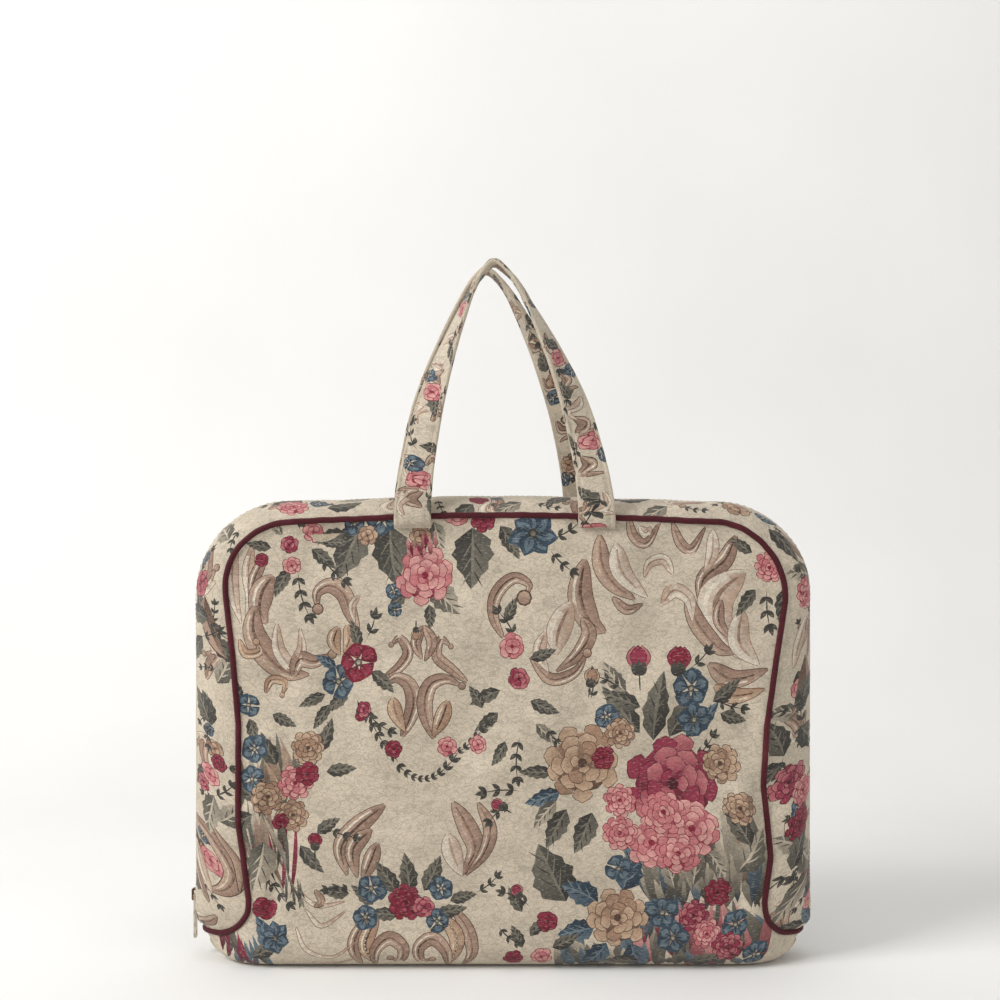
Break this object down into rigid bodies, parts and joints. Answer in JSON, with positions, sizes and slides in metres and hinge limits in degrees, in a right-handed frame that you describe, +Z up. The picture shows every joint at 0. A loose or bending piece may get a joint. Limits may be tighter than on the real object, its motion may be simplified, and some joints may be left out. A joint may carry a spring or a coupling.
{
  "type": "toiletry bag",
  "caption": "Zipped cloth toiletry bag with piped seams, a gusset over the sides and top and strap handles, in a cream floral weave.",
  "frame": {"origin": "middle of the base, on the surface that the bag stands on", "axes": "+Z up towards the handles, -Y out of the front panel, +X to the viewer's right"},
  "size_m": [0.4099, 0.076, 0.459],
  "materials": {
    "tapestry": "cream jacquard cloth woven with flowers, leaves and scrolls",
    "lining_cloth": "plain cream lining",
    "piping_cloth": "dark burgundy cloth-covered cord",
    "zip_tape": "woven cream zipper tape",
    "zip_coil": "cream nylon coil",
    "slider_metal": "dark painted slider",
    "pull_metal": "pale plated pull"
  },
  "bodies": {
    "bag": {"main_panel": "tapestry", "lining": "lining_cloth", "gusset_front": "tapestry", "gusset_back": "tapestry", "piping": "piping_cloth", "zip_tape_front": "zip_tape", "zip_tape_back": "zip_tape", "zip_coil_front": "zip_coil", "zip_coil_back": "zip_coil", "zip_top_stops": "slider_metal", "zip_bottom_stop": "slider_metal", "handle_front": "tapestry", "handle_back": "tapestry"},
    "slider": {"zip_slider": "slider_metal"},
    "pull": {"zip_pull": "pull_metal"}
  },
  "joints": [
    {"name": "zip_slide", "type": "slide", "parent": "bag", "child": "slider", "axis": [0, 0, 1], "range_m": [0, 0.18]},
    {"name": "pull_swing", "type": "hinge", "parent": "slider", "child": "pull", "pos_m": [-0.2045, 0, 0.04], "axis": [0, 1, 0], "range_deg": [0, 170]}
  ]
}
